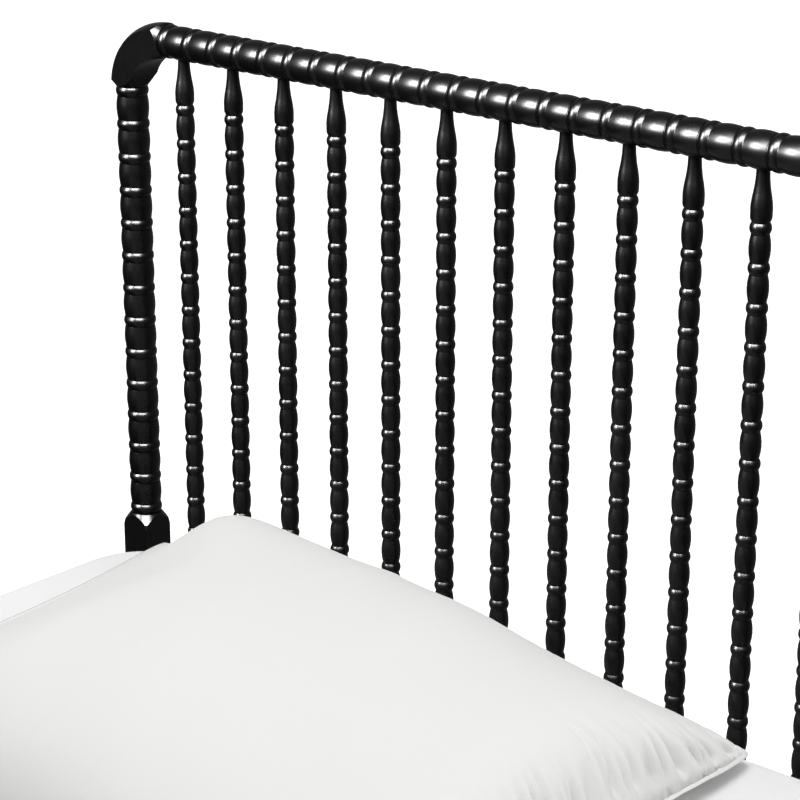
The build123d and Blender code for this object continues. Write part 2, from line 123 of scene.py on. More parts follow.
class Shader:
    """One material under construction."""

    def __init__(self, name: str) -> None:
        """Starts a node material with one Principled surface.

        Args:
            name: the material's name.
        """
        self.material = bpy.data.materials.new(name)
        self.material.use_nodes = True
        self.tree = self.material.node_tree
        self.surface = self.tree.nodes["Principled BSDF"]

    def node(self, kind: str, settings: dict[str, Any], *values: Any, out: int = 0,
             **named: Any) -> Socket:
        """Adds any node.

        Args:
            kind: the node's Blender type.
            settings: properties set before the sockets.
            values: values or links of the first sockets, in order.
            out: which output to return.
            named: values or links of sockets by name, with _ for a space.

        Returns:
            The chosen output, wrapped.
        """
        made = self.tree.nodes.new(kind)
        for key, value in settings.items():
            setattr(made, key, value)
        pairs = list(zip(made.inputs, values))
        pairs += [(made.inputs[key.replace("_", " ")], value) for key, value in named.items()]
        for socket, value in pairs:
            if isinstance(value, Socket):
                self.tree.links.new(value.link, socket)
            elif value is not None:
                socket.default_value = value
        return Socket(self, made.outputs[out])

    def place(self) -> Socket:
        """The point on the piece, in metres."""
        return self.node("ShaderNodeTexCoord", {}, out=3)

    def parts(self, vector: Socket) -> tuple[Socket, Socket, Socket]:
        """The x, y and z of a vector.

        Args:
            vector: the vector to split.

        Returns:
            Its three values.
        """
        made = self.node("ShaderNodeSeparateXYZ", {}, vector)
        outputs = made.link.node.outputs
        return tuple(Socket(self, outputs[axis]) for axis in range(3))

    def stretched(self, vector: Socket, scale: Sequence[float]) -> Socket:
        """The vector with each axis scaled on its own."""
        return self.node("ShaderNodeVectorMath", {"operation": "MULTIPLY"}, vector, tuple(scale))

    def noise(self, vector: Socket, scale: float, detail: float = 3.0,
              roughness: float = 0.5) -> Socket:
        """Soft noise between 0 and 1.

        Args:
            vector: where it is read.
            scale: how many lumps in a metre.
            detail: octaves.
            roughness: strength of the finer octaves.

        Returns:
            The noise value.
        """
        return self.node("ShaderNodeTexNoise", {}, Vector=vector, Scale=scale, Detail=detail,
                         Roughness=roughness)

    def mixed(self, amount: Any, first: Any, second: Any) -> Socket:
        """A colour between two colours.

        Args:
            amount: 0 for the first, 1 for the second.
            first: colour or link.
            second: colour or link.

        Returns:
            The mixed colour.
        """
        made = self.tree.nodes.new("ShaderNodeMix")
        made.data_type = "RGBA"
        for index, value in ((0, amount), (6, first), (7, second)):
            if isinstance(value, Socket):
                self.tree.links.new(value.link, made.inputs[index])
            elif index:
                made.inputs[index].default_value = (*value, 1.0)
            else:
                made.inputs[index].default_value = value
        return Socket(self, made.outputs[2])

    def set(self, **values: Any) -> None:
        """Sets sockets of the surface: constants directly, links as links.

        Args:
            values: values or links of sockets by name, with _ for a space.
        """
        for key, value in values.items():
            socket = self.surface.inputs[key.replace("_", " ")]
            if isinstance(value, Socket):
                self.tree.links.new(value.link, socket)
            elif isinstance(value, tuple) and len(value) == 3:
                socket.default_value = (*value, 1.0)
            else:
                socket.default_value = value

    def bump(self, height: Socket, strength: float, distance: float) -> None:
        """Feeds a height into the surface's normal.

        Args:
            height: the height, about 0 to 1.
            strength: how much of it shows.
            distance: its size in metres.
        """
        made = self.node("ShaderNodeBump", {}, Strength=strength, Distance=distance, Height=height)
        self.tree.links.new(made.link, self.surface.inputs["Normal"])


# ---------------------------------------------------------------- finishes
@dataclass(frozen=True)
class Lacquer:
    """Sprayed black lacquer over sanded wood."""

    name: str = "black_lacquer"
    deep: Colour = (0.0012, 0.0012, 0.0015)
    worn: Colour = (0.0036, 0.0035, 0.0040)
    roughness: float = 0.29
    gloss: float = 0.10
    coat: float = 0.02

    def build(self) -> bpy.types.Material:
        """Makes the material: faint cloudiness, fine orange peel and sanding marks.

        Returns:
            The material.
        """
        shader = Shader(self.name)
        place = shader.place()
        cloud = shader.noise(place, 9.0, 4.0)
        peel = shader.noise(place, 620.0, 2.0)
        sanding = shader.noise(shader.stretched(place, (90.0, 90.0, 14.0)), 12.0, 5.0, 0.6)
        speck = shader.noise(place, 2400.0, 1.0).ramp(0.70, 0.78)
        tone = cloud.ramp(0.35, 0.7) * 0.5 + sanding.ramp(0.45, 0.75) * 0.3
        shader.set(Base_Color=shader.mixed(tone, self.deep, self.worn),
                   Roughness=self.roughness + (cloud - 0.5) * 0.10 + (sanding - 0.5) * 0.08
                   + speck * 0.12,
                   Coat_Weight=self.coat, Coat_Roughness=0.2, Specular_IOR_Level=self.gloss)
        shader.bump(peel * 0.5 + sanding * 0.5, 0.3, 0.00006)
        return shader.material


@dataclass(frozen=True)
class RawWood:
    """Unfinished planed wood with its grain along one axis."""

    name: str
    pale: Colour
    dark: Colour
    along: int = 0

    def build(self) -> bpy.types.Material:
        """Makes the material: rings, pores and a few knots.

        Returns:
            The material.
        """
        shader = Shader(self.name)
        scale = [11.0, 11.0, 11.0]
        scale[self.along] = 0.9
        place = shader.stretched(shader.place(), scale)
        wander = shader.noise(place, 1.1, 3.0)
        across = shader.parts(place)[1 if self.along == 0 else 0]
        rings = ((across * 9.0 + wander * 16.0).sine() + 1.0) * 0.5
        pores = shader.noise(shader.stretched(place, (6.0, 14.0, 14.0)), 9.0, 4.0, 0.65)
        knots = shader.node("ShaderNodeTexVoronoi", {}, Vector=place, Scale=0.33)
        knot = 1.0 - knots.ramp(0.05, 0.16)
        tone = (rings ** 2.2) * 0.45 + pores.ramp(0.42, 0.72) * 0.25 + knot * 0.6
        shader.set(Base_Color=shader.mixed(tone.clamped(), self.pale, self.dark),
                   Roughness=0.62 + pores * 0.2, Specular_IOR_Level=0.35)
        shader.bump(rings * 0.4 + pores * 0.6, 0.4, 0.0002)
        return shader.material


@dataclass(frozen=True)
class Metal:
    """Machined steel, zinc plated or blackened."""

    name: str
    colour: Colour
    roughness: float
    metallic: float = 1.0

    def build(self) -> bpy.types.Material:
        """Makes the material: turning marks, scuffs and dull patches.

        Returns:
            The material.
        """
        shader = Shader(self.name)
        place = shader.place()
        patches = shader.noise(place, 160.0, 4.0)
        marks = shader.noise(shader.stretched(place, (900.0, 90.0, 900.0)), 3.0, 2.0)
        darker = tuple(channel * 0.7 for channel in self.colour)
        shader.set(Base_Color=shader.mixed(patches.ramp(0.35, 0.75), self.colour, darker),
                   Metallic=self.metallic, Roughness=self.roughness + (patches - 0.5) * 0.25)
        shader.bump(marks, 0.25, 0.00005)
        return shader.material


@dataclass(frozen=True)
class Nylon:
    """Moulded off-white nylon."""

    name: str = "glide_nylon"
    colour: Colour = (0.70, 0.69, 0.64)

    def build(self) -> bpy.types.Material:
        """Makes the material: faint flow marks and a spark-textured skin.

        Returns:
            The material.
        """
        shader = Shader(self.name)
        place = shader.place()
        flow = shader.noise(place, 45.0, 3.0)
        skin = shader.noise(place, 1800.0, 2.0)
        darker = tuple(channel * 0.86 for channel in self.colour)
        shader.set(Base_Color=shader.mixed(flow, self.colour, darker),
                   Roughness=0.42 + skin * 0.2, Specular_IOR_Level=0.45)
        shader.bump(skin, 0.3, 0.00008)
        return shader.material


class Weave(Enum):
    """The kinds of white cloth on the bed."""

    PERCALE = "percale"
    KNIT = "knit"
    TAPE = "tape"


@dataclass(frozen=True)
class Cloth:
    """White cotton or polyester cloth with a real thread pitch."""

    name: str
    weave: Weave
    colour: Colour
    # the darker colour: the slubs' own tone and the painted shade in the creases
    shade: Colour
    threads: float = 1500.0
    bump_size: float = 0.00006
    crease: float = 0.25

    def build(self) -> bpy.types.Material:
        """Makes the material: crossing threads, slubs, soft creases with painted shade in them, and a
        faint sheen.

        Returns:
            The material.
        """
        shader = Shader(self.name)
        place = shader.place()
        x, y, z = shader.parts(place)
        pitch = self.threads * 2.0 * math.pi / 4.0
        if self.weave is Weave.KNIT:
            grain = ((x * pitch * 0.55).sine() * ((y + z) * pitch * 0.32).sine() + 1.0) * 0.5
        elif self.weave is Weave.TAPE:
            grain = ((((x + y) * pitch * 0.5).sine()) + 1.0) * 0.5
        else:
            warp = ((x + z * 0.5) * pitch).sine()
            weft = ((y + z * 0.5) * pitch).sine()
            grain = (warp * weft + 1.0) * 0.5
        slub = shader.noise(shader.stretched(place, (240.0, 22.0, 60.0)), 1.6, 3.0)
        cross = shader.noise(shader.stretched(place, (22.0, 240.0, 60.0)), 1.6, 3.0)
        crease = shader.noise(shader.stretched(place, (1.0, 1.6, 1.0)), 7.0, 4.0, 0.55)
        # the crease noise also darkens the colour toward the shade colour: painted shade in the
        # creases; grain and slubs are the cloth's own tone
        tone = grain * 0.12 + slub.ramp(0.45, 0.8) * 0.2 + crease.ramp(0.35, 0.8) * 0.3
        shader.set(Base_Color=shader.mixed(tone.clamped(), self.colour, self.shade),
                   Roughness=0.82 + (slub - 0.5) * 0.12, Specular_IOR_Level=0.25,
                   Sheen_Weight=0.25, Sheen_Roughness=0.5)
        shader.bump(grain * 0.25 + slub * 0.3 + cross * 0.2 + crease * self.crease, 0.35,
                    self.bump_size)
        return shader.material


# ---------------------------------------------------------------- mesh helpers
def new_piece(name: str, vertices: Iterable[Sequence[float]], faces: Iterable[Sequence[int]],
              material: bpy.types.Material, body: str) -> bpy.types.Object:
    """Makes a smooth mesh piece that rides on a body.

    Args:
        name: the piece's name.
        vertices: points in the row frame, in metres.
        faces: vertex indices.
        material: its finish.
        body: the CAD body it moves with.

    Returns:
        The new object.
    """
    mesh = bpy.data.meshes.new(name)
    mesh.from_pydata([tuple(v) for v in vertices], [], [tuple(f) for f in faces])
    mesh.validate()
    made = bpy.data.objects.new(name, mesh)
    bpy.context.scene.collection.objects.link(made)
    made.data.materials.append(material)
    made.data.shade_smooth()
    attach(made, body)
    LOG.info("%s: %d vertices", name, len(mesh.vertices))
    return made


def grid_faces(rows: int, columns: int, closed: bool) -> list[tuple[int, int, int, int]]:
    """Quads of a grid of points.

    Args:
        rows: how many rows of points.
        columns: how many points in a row.
        closed: whether each row closes on itself.

    Returns:
        The quads.
    """
    faces = []
    for row in range(rows - 1):
        for column in range(columns if closed else columns - 1):
            after = (column + 1) % columns
            faces.append((row * columns + column, row * columns + after,
                          (row + 1) * columns + after, (row + 1) * columns + column))
    return faces


@dataclass(frozen=True)
class Plan:
    """A rounded rectangle in plan, read by a fraction of the way round."""

    half_x: float
    half_y: float
    corner: float
    centre_y: float = 0.0

    def ring(self, inset: float, z: float, count: int) -> list[Vector]:
        """Points round the plan.

        Args:
            inset: how far inside the outline its sides lie.
            z: the height of the ring.
            count: how many points.

        Returns:
            The points, anticlockwise from +X.
        """
        # each ring is the outline scaled about its middle, so that rings never cross
        shrink_x = (self.half_x - inset) / self.half_x
        shrink_y = (self.half_y - inset) / self.half_y
        straight_x, straight_y = self.half_x - self.corner, self.half_y - self.corner
        arc = self.corner * math.pi / 2
        lengths = [2 * straight_y, arc, 2 * straight_x, arc] * 2
        total = sum(lengths)
        points = []
        for index in range(count):
            along = total * index / count
            side = 0
            while along > lengths[side]:
                along -= lengths[side]
                side += 1
            x, y = self.outline_point(side, along)
            points.append(Vector((x * shrink_x, y * shrink_y + self.centre_y, z)))
        return points

    def outline_point(self, side: int, along: float) -> tuple[float, float]:
        """One point of the outline about its own middle.

        Args:
            side: which straight or corner, counted anticlockwise from the +X side.
            along: how far along it.

        Returns:
            The point's x and y.
        """
        across, up = self.half_x - self.corner, self.half_y - self.corner
        turn = along / self.corner
        cosine, sine = self.corner * math.cos(turn), self.corner * math.sin(turn)
        return (
            (self.half_x, -up + along),
            (across + cosine, up + sine),
            (across - along, self.half_y),
            (-across - sine, up + cosine),
            (-self.half_x, up - along),
            (-across - cosine, -up - sine),
            (-across + along, -self.half_y),
            (across + sine, -up - cosine),
        )[side]


def smooth_step(low: float, high: float, value: float) -> float:
    """0 at low, 1 at high, with an easy start and end."""
    share = min(1.0, max(0.0, (value - low) / (high - low)))
    return share * share * (3.0 - 2.0 * share)


def smooth_noise(point: Vector, size: float) -> float:
    """Gentle noise of about -1 to 1 whose lumps are of a given size in metres."""
    return noise.noise(point / size)


# ---------------------------------------------------------------- mattress and sheet
@dataclass
class MattressAndSheet:
    """The mattress, its taped borders and the fitted sheet stretched over it."""

    border: bpy.types.Material
    tape: bpy.types.Material
    sheet: bpy.types.Material
    body: str = "mattress"
    corner: float = 70.0 * MM
    edge: float = 20.0 * MM
    crown: float = 3.5 * MM
    sheet_gap: float = 1.6 * MM
    sheet_thick: float = 0.5 * MM
    sheet_end: float = 0.03             # underside of the mattress to the sheet's lower edge
    bulge: float = 0.004                # of the border, at half its height
    border_drop: float = 0.003          # rounded top edge to the start of the border
    tape_inset: float = 0.0002
    tape_half_thick: float = 0.0019
    tape_half_width: float = 0.005
    wave_height: float = 0.0016         # of the sheet's soft waves on top
    settle: float = 0.0006
    pleats_round: float = 90.0
    pleat_depth: float = 0.0012
    pleat_reach: float = 0.11
    wrinkle: float = 0.0011
    around: int = 420
    low: Vector = field(init=False)
    high: Vector = field(init=False)

    def __post_init__(self) -> None:
        """Reads the mattress's box from the frame."""
        self.low, self.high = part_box("mattress")

    def plan(self, grow: float) -> Plan:
        """The mattress's outline, grown all round.

        Args:
            grow: how far outside the CAD mattress, in metres.

        Returns:
            The outline.
        """
        middle = (self.low.y + self.high.y) / 2
        return Plan((self.high.x - self.low.x) / 2 + grow, (self.high.y - self.low.y) / 2 + grow,
                    self.corner + grow, middle)

    def crowned(self, inset: float, span: float) -> float:
        """How far the top stands over its edge, at an inset from the outline."""
        share = min(1.0, inset / span)
        return self.crown * math.sin(share * math.pi / 2)

    def top_rings(self, plan: Plan, top: float, edge: float) -> list[list[Vector]]:
        """Rings from the middle of the top out to the start of the side.

        Args:
            plan: the outline.
            top: the height of the top's edge, before its rounding.
            edge: the rounding's radius.

        Returns:
            The rings, innermost first.
        """
        rings = []
        span = plan.half_x
        steps = 34
        for index in range(steps):
            inset = edge + (span * 0.985 - edge) * (1 - index / (steps - 1)) ** 1.25
            rings.append(plan.ring(inset, top - self.crown + self.crowned(inset, span),
                                   self.around))
        turns = 9
        for index in range(1, turns):
            angle = math.pi / 2 * index / turns
            rings.append(plan.ring(edge * (1 - math.sin(angle)),
                                   top - self.crown + self.crowned(edge, span)
                                   - edge * (1 - math.cos(angle)), self.around))
        return rings

    def mattress(self) -> bpy.types.Object:
        """The mattress: crowned panels, bulging border, closed underneath.

        Returns:
            The piece.
        """
        plan = self.plan(-0.4 * MM)
        top, bottom = self.high.z - 2.4 * MM, self.low.z + 0.3 * MM
        rings = self.top_rings(plan, top, self.edge)
        wall = 12
        upper, lower = rings[-1][0].z - self.border_drop, bottom + self.edge
        for index in range(wall + 1):
            share = index / wall
            pull = self.bulge * math.cos((share - 0.5) * math.pi)
            rings.append(plan.ring(self.bulge - pull, upper + (lower - upper) * share, self.around))
        for index in range(1, 8):
            angle = math.pi / 2 * index / 7
            rings.append(plan.ring(self.edge * (1 - math.cos(angle)) + 0.001,
                                   bottom + self.edge * (1 - math.sin(angle)), self.around))
        for share in (0.2, 0.5, 0.985):
            rings.append(plan.ring(plan.half_x * share, bottom, self.around))
        return self.skin("mattress_core", rings, self.border, True)

    def skin(self, name: str, rings: list[list[Vector]], material: bpy.types.Material,
             closed: bool) -> bpy.types.Object:
        """A piece from rings, capped at its first ring.

        Args:
            name: the piece's name.
            rings: rings with the same number of points.
            material: its finish.
            closed: whether the last ring is capped too.

        Returns:
            The piece.
        """
        count = len(rings[0])
        points = [point for one in rings for point in one]
        faces: list[Sequence[int]] = list(grid_faces(len(rings), count, True))
        faces.append(tuple(reversed(range(count))))
        if closed:
            start = (len(rings) - 1) * count
            faces.append(tuple(range(start, start + count)))
        made = new_piece(name, points, faces, material, self.body)
        flip_outward(made)
        return made

    def tapes(self) -> list[bpy.types.Object]:
        """The stitched tape that binds each edge of the border.

        Returns:
            The upper and the lower tape.
        """
        made = []
        plan = self.plan(-1.5 * MM)
        sides = 8
        for name, z in (("mattress_tape_top", self.high.z - self.edge - 8 * MM),
                        ("mattress_tape_bottom", self.low.z + self.edge + 3 * MM)):
            rings = []
            for index in range(sides):
                angle = 2 * math.pi * index / sides
                rings.append(plan.ring(self.tape_inset - self.tape_half_thick * math.cos(angle),
                                       z + self.tape_half_width * math.sin(angle), self.around))
            points = [point for one in rings for point in one]
            faces = grid_faces(sides, self.around, True)
            last = (sides - 1) * self.around
            for column in range(self.around):
                after = (column + 1) % self.around
                faces.append((last + column, last + after, after, column))
            piece = new_piece(name, points, faces, self.tape, self.body)
            flip_outward(piece)
            made.append(piece)
        return made

    def fitted_sheet(self) -> bpy.types.Object:
        """The sheet: tight on top, pleated a little at the corners, ending low on the sides.

        Returns:
            The piece.
        """
        plan = self.plan(self.sheet_gap)
        top, bottom = self.high.z + self.sheet_thick, self.low.z - 0.1 * MM
        rings = self.top_rings(plan, top, self.edge + self.sheet_gap)
        start = rings[-1][0].z
        wall = 16
        for index in range(1, wall + 1):
            share = index / wall
            rings.append(plan.ring(0.0, start + (bottom + self.sheet_end - start) * share, self.around))
        first_wall = len(rings) - wall
        for row, ring in enumerate(rings):
            for point in ring:
                self.ease(point, row, first_wall, wall, plan)
        made = self.skin("fitted_sheet", rings, self.sheet, False)
        thick = made.modifiers.new("thickness", "SOLIDIFY")
        thick.thickness = self.sheet_thick
        thick.offset = -1.0
        return made

    def ease(self, point: Vector, row: int, first_wall: int, wall: int, plan: Plan) -> None:
        """Lets one point of the sheet wander as pulled cloth does.

        Args:
            point: the point, changed in place.
            row: its ring.
            first_wall: the first ring of the side.
            wall: how many rings the side has.
            plan: the sheet's outline.
        """
        if row < first_wall:
            near = max(abs(point.x) / plan.half_x, abs(point.y - plan.centre_y) / plan.half_y)
            wander = smooth_noise(point + Vector((3.1, 0.7, 0.0)), 0.30) * 0.5
            wander += smooth_noise(point + Vector((0.0, 9.0, 2.0)), 0.11) * 0.25
            point.z += wander * self.wave_height * (1.0 - near ** 6) - self.settle
            return
        share = (row - first_wall + 1) / wall
        corner_x, corner_y = plan.half_x - plan.corner, plan.half_y - plan.corner
        away = Vector((abs(point.x) - corner_x, abs(point.y - plan.centre_y) - corner_y))
        pull = max(0.0, 1.0 - abs(away.x - away.y) / self.pleat_reach)
        angle = math.atan2(point.y - plan.centre_y, point.x) * self.pleats_round
        fold = math.sin(angle) * self.pleat_depth * pull * share
        flattened = Vector((point.x, point.y, point.z * 0.35))
        fold += smooth_noise(flattened, 0.07) * self.wrinkle * share
        outward = Vector((point.x, point.y - plan.centre_y, 0.0)).normalized()
        point += outward * (abs(fold) + 0.0002)

    def build(self) -> None:
        """Makes all the pieces."""
        core = self.mattress()
        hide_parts("mattress")
        self.tapes()
        cover = self.fitted_sheet()


def flip_outward(piece: bpy.types.Object) -> None:
    """Turns every face of a piece to look outward.

    Args:
        piece: the piece, changed in place.
    """
    shape = bmesh.new()
    shape.from_mesh(piece.data)
    bmesh.ops.recalc_face_normals(shape, faces=shape.faces)
    shape.to_mesh(piece.data)
    shape.free()


# ---------------------------------------------------------------- pillow
@dataclass(frozen=True)
class Fold:
    """One family of folds at the open end of the case."""

    pitch: float
    depth: float
    reach: float
    sharpness: float
    seed: float


@dataclass
class Pillow:
    """A queen pillow in its case: full on the left, thinner and gathered at its open right end."""

    cotton: bpy.types.Material
    hem_cotton: bpy.types.Material
    body: str = "pillow"
    cells_x: int = 210
    cells_y: int = 250
    underside: float = 1.0 * MM
    seam_height: float = 8.0 * MM
    headroom: float = 4.0 * MM          # crown of the case to the top of the CAD pillow
    folds: tuple[Fold, ...] = (Fold(0.0150, 0.0180, 0.024, 1.3, 3.0),
                               Fold(0.0260, 0.0120, 0.032, 1.8, 8.0),
                               Fold(0.0480, 0.0022, 0.070, 1.5, 14.0))
    pucker_pitch: float = 0.024
    pucker_depth: float = 0.0022
    pucker_reach: float = 0.024
    left_pull: float = 0.056
    seam_lift_x: float = 9.0 * MM
    seam_lift_y: float = 3.0 * MM
    hem_width: float = 8.0 * MM
    hem_thick: float = 2.2 * MM
    hem_overlap: float = 4.5 * MM
    hem_wave: float = 2.2 * MM
    hem_sides: int = 12
    low: Vector = field(init=False)
    high: Vector = field(init=False)
    middle: Vector = field(init=False)
    half: Vector = field(init=False)

    def __post_init__(self) -> None:
        """Reads the pillow's box from the frame."""
        self.low, self.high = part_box("pillow")
        self.middle = (self.low + self.high) / 2
        self.half = (self.high - self.low) / 2

    def left_edge(self, v: float) -> float:
        """How far the left end pulls in toward the middle of the pillow, in metres."""
        return self.left_pull * (1.0 - ((v + 0.2) / 1.2) ** 2)

    def fullness(self, u: float, v: float) -> float:
        """How full the filling is: it climbs from the left end and thins toward the open end.

        Args:
            u: place along the pillow, -1 to 1.
            v: place across it, -1 to 1.

        Returns:
            The share of the full rise, about 0 to 1.
        """
        if u < 0:
            inside = self.outline(u, v)[0] - self.outline(-1.0, v)[0]
            climb = inside / (0.220 - 0.052 * smooth_step(0.1, 0.65, v))
            level = (climb + 1.0 - math.hypot(climb - 1.0, 0.08)) / 2
            level += 0.05 * (1.0 - math.exp(-inside / 0.012))
            peak = math.exp(-(((inside - 0.18) / 0.06) ** 2)) * smooth_step(0.2, 0.6, v)
            return max(0.0, level - 0.03 + 0.06 * peak)
        thinner = (0.20 + 0.54 * v * v) * smooth_step(-0.1, 0.95, u)
        return (1.018 - thinner) * (1.0 - u ** 15) ** 0.62

    def seam(self, u: float, v: float) -> float:
        """Height of the seam over the underside: it lifts between the corners.

        Args:
            u: place along the pillow, -1 to 1.
            v: place across it, -1 to 1.

        Returns:
            The height in metres.
        """
        lift = self.seam_lift_x * (1.0 - v * v) * abs(u) ** 6
        lift += self.seam_lift_y * (1.0 - u * u) * abs(v) ** 6
        return self.seam_height + lift

    def gathers(self, u: float, v: float) -> float:
        """Folds that run in from the seams, deepest at the open end.

        Args:
            u: place along the pillow, -1 to 1.
            v: place across it, -1 to 1.

        Returns:
            How far the cloth sinks there, in metres.
        """
        inward = (1.0 - u) * self.half.x
        along = v * self.half.y
        spread = 1.0 + inward * 1.6
        sunk = 0.0
        for fold in self.folds:
            longer = abs(smooth_noise(Vector((along, 5.0, fold.seed)), 2.1 * fold.pitch))
            length = fold.reach * (0.6 + 0.9 * longer)
            drift = Vector((along / (2.4 * fold.pitch), inward / 0.07, fold.seed))
            phase = along * spread / fold.pitch + 1.3 * noise.noise(drift)
            lobes = (1.0 - abs(math.sin(math.pi * phase))) ** fold.sharpness
            deeper = abs(smooth_noise(Vector((along, 1.0, fold.seed)), 1.7 * fold.pitch))
            strength = fold.depth * (0.45 + 1.2 * deeper)
            sunk += strength * lobes * math.exp(-((inward / length) ** 2.0))
        sunk += self.puckers((1.0 + u) * self.half.x, along, 11.0)
        sunk += self.puckers((1.0 - abs(v)) * self.half.y, u * self.half.x, 17.0)
        return sunk

    def puckers(self, distance: float, run: float, seed: float) -> float:
        """Small puckers along a closed seam.

        Args:
            distance: how far in from the seam, in metres.
            run: how far along it, in metres.
            seed: the seam's own noise seed.

        Returns:
            How far the cloth sinks there, in metres.
        """
        uneven = 1.5 * smooth_noise(Vector((run, distance * 0.4, seed)), 0.05)
        turns = run / self.pucker_pitch + uneven
        small = (1.0 - abs(math.sin(math.pi * turns))) ** 2
        return self.pucker_depth * small * math.exp(-((distance / self.pucker_reach) ** 1.3))

    def ripples(self, u: float, v: float) -> float:
        """Soft long swells across the top.

        Args:
            u: place along the pillow, -1 to 1.
            v: place across it, -1 to 1.

        Returns:
            How far the cloth rises there, in metres.
        """
        x, y = u * self.half.x, v * self.half.y
        swell = smooth_noise(Vector((x + y * 0.35, y * 0.22, 2.0)), 0.075) * 0.0036
        swell += smooth_noise(Vector((x, y, 9.0)), 0.16) * 0.0035
        return swell

    def outline(self, u: float, v: float) -> tuple[float, float]:
        """Plan position of a place: the back pulls in between the corners, the front swells.

        Args:
            u: place along the pillow, -1 to 1.
            v: place across it, -1 to 1.

        Returns:
            The x and y from the pillow's middle, in metres.
        """
        x = self.half.x * u
        if u < 0:
            x += self.left_edge(v) * u * u
        pull_in = 0.026 if v > 0 else -0.012
        y = self.half.y * v * (1.0 - pull_in * (1.0 - u * u) * abs(v) ** 3)
        corner = (abs(u) * abs(v)) ** 12
        return x * (1.0 - 0.022 * corner), y * (1.0 - 0.026 * corner)

    def point(self, u: float, v: float, top: bool) -> Vector:
        """One point of the case.

        Args:
            u: place along the pillow, -1 to 1.
            v: place across it, -1 to 1.
            top: the upper panel, or else the lower.

        Returns:
            The point in the row frame.
        """
        x, y = self.outline(u, v)
        edge = max(0.0, 1.0 - abs(v) ** 2.6) ** 0.46
        floor = self.low.z + self.underside
        seam = self.seam(u, v)
        rise = self.high.z - floor - self.seam_height - self.headroom
        near = min((1.0 - abs(u)) * self.half.x, (1.0 - abs(v)) * self.half.y)
        if top:
            z = floor + seam + rise * edge * self.fullness(u, v)
            z += self.ripples(u, v) * smooth_step(0.0, 0.08, near)
            sunk = self.gathers(u, v) * smooth_step(0.0, 0.006, near)
            lean = 1.1 * math.exp(-(1.0 - u) * self.half.x / 0.022)
            x -= sunk * math.sin(lean)
            z = max(z - sunk * math.cos(lean), floor + seam * 0.9)
        else:
            drop = smooth_step(0.0, 0.055, near) ** 0.7
            z = floor + seam * (1.0 - drop)
            z += self.gathers(u, v) * 0.3 * (1.0 - drop) * smooth_step(0.0, 0.006, near)
        return Vector((self.middle.x + x, self.middle.y + y, z))

    def places(self, cells: int) -> list[float]:
        """Steps from -1 to 1, closer together near both ends.

        Args:
            cells: how many steps.

        Returns:
            The places between them, with both ends.
        """
        steps = []
        for index in range(cells + 1):
            even = 2.0 * index / cells - 1.0
            steps.append(0.55 * even + 0.45 * math.sin(even * math.pi / 2))
        return steps

    def case(self) -> tuple[list[Vector], list[tuple[int, ...]]]:
        """The two panels of the case, joined at the seam.

        Returns:
            The points and the faces.
        """
        us, vs = self.places(self.cells_x), self.places(self.cells_y)
        columns, rows = len(us), len(vs)
        points: list[Vector] = []
        index: dict[tuple[bool, int, int], int] = {}
        for top in (False, True):
            for row, v in enumerate(vs):
                for column, u in enumerate(us):
                    rim = row in (0, rows - 1) or column in (0, columns - 1)
                    if rim and top:
                        index[True, row, column] = index[False, row, column]
                        continue
                    index[top, row, column] = len(points)
                    points.append(self.point(u, v, top or rim))
        faces = []
        for top in (False, True):
            for row in range(rows - 1):
                for column in range(columns - 1):
                    quad = [index[top, row, column], index[top, row, column + 1],
                            index[top, row + 1, column + 1], index[top, row + 1, column]]
                    faces.append(tuple(quad if top else reversed(quad)))
        return points, faces

    def hem(self) -> bpy.types.Object:
        """The stitched double hem along the open end.

        Returns:
            The piece.
        """
        vs = self.places(self.cells_y)
        rings = []
        for v in vs:
            root = self.point(1.0, v, True)
            wave = self.hem_wave * smooth_noise(Vector((0.0, root.y, 4.0)), 0.028)
            droop = -0.12 - 0.10 * abs(v) ** 3
            ring = []
            for step in range(self.hem_sides):
                angle = 2.0 * math.pi * step / self.hem_sides
                across = self.hem_width / 2 * (1.0 + math.cos(angle)) - self.hem_overlap
                share = across / self.hem_width
                lift = self.hem_thick / 2 * math.sin(angle) * (0.75 if 0.3 < share < 0.6 else 1.0)
                z = root.z + lift + wave * share + droop * across
                ring.append(Vector((root.x + across, root.y, max(z, self.low.z + 0.6 * MM))))
            rings.append(ring)
        points = [point for ring in rings for point in ring]
        faces: list[Sequence[int]] = list(grid_faces(len(rings), self.hem_sides, True))
        faces.append(tuple(range(self.hem_sides)))
        last = (len(rings) - 1) * self.hem_sides
        faces.append(tuple(reversed(range(last, last + self.hem_sides))))
        made = new_piece("pillowcase_hem", points, faces, self.hem_cotton, self.body)
        flip_outward(made)
        return made

    def build(self) -> None:
        points, faces = self.case()
        piece = new_piece("bed_pillow", points, faces, self.cotton, self.body)
        flip_outward(piece)
        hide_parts("pillow")
        self.hem()


# ---------------------------------------------------------------- the CAD nodes
@dataclass
class Joinery:
    """The nodes that keep their CAD shape, with their real finishes."""

    nodes: dict[str, bpy.types.Object]
    finishes: dict[str, bpy.types.Material]

    def finish_of(self, name: str) -> bpy.types.Material:
        """The finish for a node, from the words in its name.

        Args:
            name: the node's name.

        Returns:
            The first finish whose word is in the name, or else the bed's.
        """
        for word, material in self.finishes.items():
            if word in name:
                return material
        return self.finishes["bed"]

    def build(self) -> None:
        """Dresses every node that still shows."""
        for name, node in self.nodes.items():
            if node.hide_render:
                continue
            material = self.finish_of(name)
            for slot in node.material_slots:
                slot.material = material
            LOG.info("%s: %s", name, material.name)


# ---------------------------------------------------------------- studio
# starts of the names that the lacquer lights fall on: both ends, the glides and the side rails
LACQUER_LIT = ("head", "foot", "left_side", "right_side")


